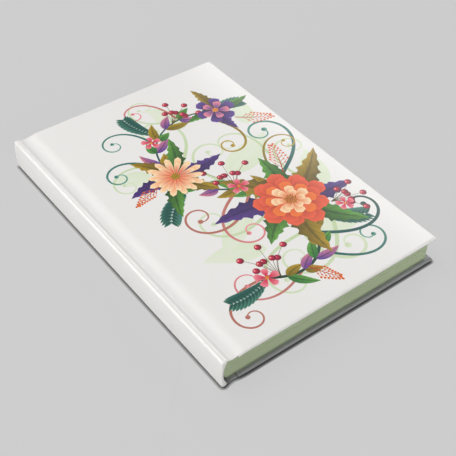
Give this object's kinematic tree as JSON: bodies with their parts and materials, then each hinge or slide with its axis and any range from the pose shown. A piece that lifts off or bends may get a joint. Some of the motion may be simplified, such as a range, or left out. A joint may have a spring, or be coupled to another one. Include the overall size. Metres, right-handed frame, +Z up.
{
  "type": "daily planner",
  "caption": "Hardcover daily planner: sewn block of ruled leaves in a paper-covered case with hinged covers and a gently rounded spine.",
  "frame": {"origin": "middle of the footprint, at the bottom face of the back cover", "axes": "+X from the spine to the fore-edge, +Y from the tail of the page to its head, +Z up through the front cover"},
  "size_m": [0.1518, 0.216, 0.0195],
  "materials": {
    "cover_paper": "printed paper with a satin laminate",
    "greyboard": "raw grey binding board",
    "endpaper": "matt uncoated endpaper",
    "signatures": "cream uncoated leaves with sage tinted edges",
    "leaf": "cream uncoated ruled paper",
    "mull": "open-weave cotton lining",
    "thread": "linen sewing thread"
  },
  "bodies": {
    "lower_half": {"back_board": "greyboard", "back_cover_paper": "cover_paper", "back_joint_paper": "cover_paper", "back_pastedown": "endpaper", "back_flyleaf": "endpaper", "back_mull": "mull", "signature_01": "signatures", "signature_02": "signatures", "signature_03": "signatures", "signature_04": "signatures", "signature_05": "signatures", "signature_06": "signatures", "signature_07": "signatures", "signature_08": "signatures", "lower_stitch_1": "thread", "lower_stitch_2": "thread", "lower_stitch_3": "thread", "lower_stitch_4": "thread"},
    "spine": {"spine_board": "greyboard", "spine_cover_paper": "cover_paper", "spine_inlay": "endpaper"},
    "upper_half": {"front_joint_paper": "cover_paper", "front_endpaper_hinge": "endpaper", "front_mull": "mull", "front_flyleaf": "endpaper", "signature_09": "signatures", "signature_10": "signatures", "signature_11": "signatures", "signature_12": "signatures", "signature_13": "signatures", "signature_14": "signatures", "signature_15": "signatures", "signature_16": "signatures", "upper_stitch_1": "thread", "upper_stitch_2": "thread", "upper_stitch_3": "thread", "upper_stitch_4": "thread"},
    "front_cover": {"front_board": "greyboard", "front_cover_paper": "cover_paper", "front_mull_flange": "mull", "front_pastedown": "endpaper"},
    "leaf_1": {"turning_leaf_1": "leaf"},
    "leaf_2": {"turning_leaf_2": "leaf"},
    "leaf_3": {"turning_leaf_3": "leaf"},
    "leaf_4": {"turning_leaf_4": "leaf"}
  },
  "joints": [
    {"name": "open_middle", "type": "hinge", "parent": "lower_half", "child": "spine", "pos_m": [-0.07242, 0, 0.00127], "axis": [0, -1, 0], "range_deg": [0, 90]},
    {"name": "upper_half_turn", "type": "hinge", "parent": "spine", "child": "upper_half", "pos_m": [-0.07242, 0, 0.01825], "axis": [0, -1, 0], "range_deg": [0, 90]},
    {"name": "open_front_cover", "type": "hinge", "parent": "upper_half", "child": "front_cover", "pos_m": [-0.06485, 0, 0.01967], "axis": [0, 1, 0], "range_deg": [-170, 0]},
    {"name": "leaf_1_turn", "type": "hinge", "parent": "spine", "child": "leaf_1", "pos_m": [-0.0723, 0, 0.00919], "axis": [0, -1, 0], "range_deg": [-44, 0]},
    {"name": "leaf_2_turn", "type": "hinge", "parent": "spine", "child": "leaf_2", "pos_m": [-0.07231, 0, 0.00951], "axis": [0, -1, 0], "range_deg": [-16, 0]},
    {"name": "leaf_3_turn", "type": "hinge", "parent": "spine", "child": "leaf_3", "pos_m": [-0.07231, 0, 0.00983], "axis": [0, -1, 0], "range_deg": [0, 16]},
    {"name": "leaf_4_turn", "type": "hinge", "parent": "spine", "child": "leaf_4", "pos_m": [-0.0723, 0, 0.01015], "axis": [0, -1, 0], "range_deg": [0, 44]}
  ],
  "couplings": [
    {"joint": "upper_half_turn", "follows": "open_middle", "ratio": 1},
    {"joint": "leaf_1_turn", "follows": "open_middle", "ratio": -0.4889},
    {"joint": "leaf_2_turn", "follows": "open_middle", "ratio": -0.1777},
    {"joint": "leaf_3_turn", "follows": "open_middle", "ratio": 0.1777},
    {"joint": "leaf_4_turn", "follows": "open_middle", "ratio": 0.4889}
  ]
}
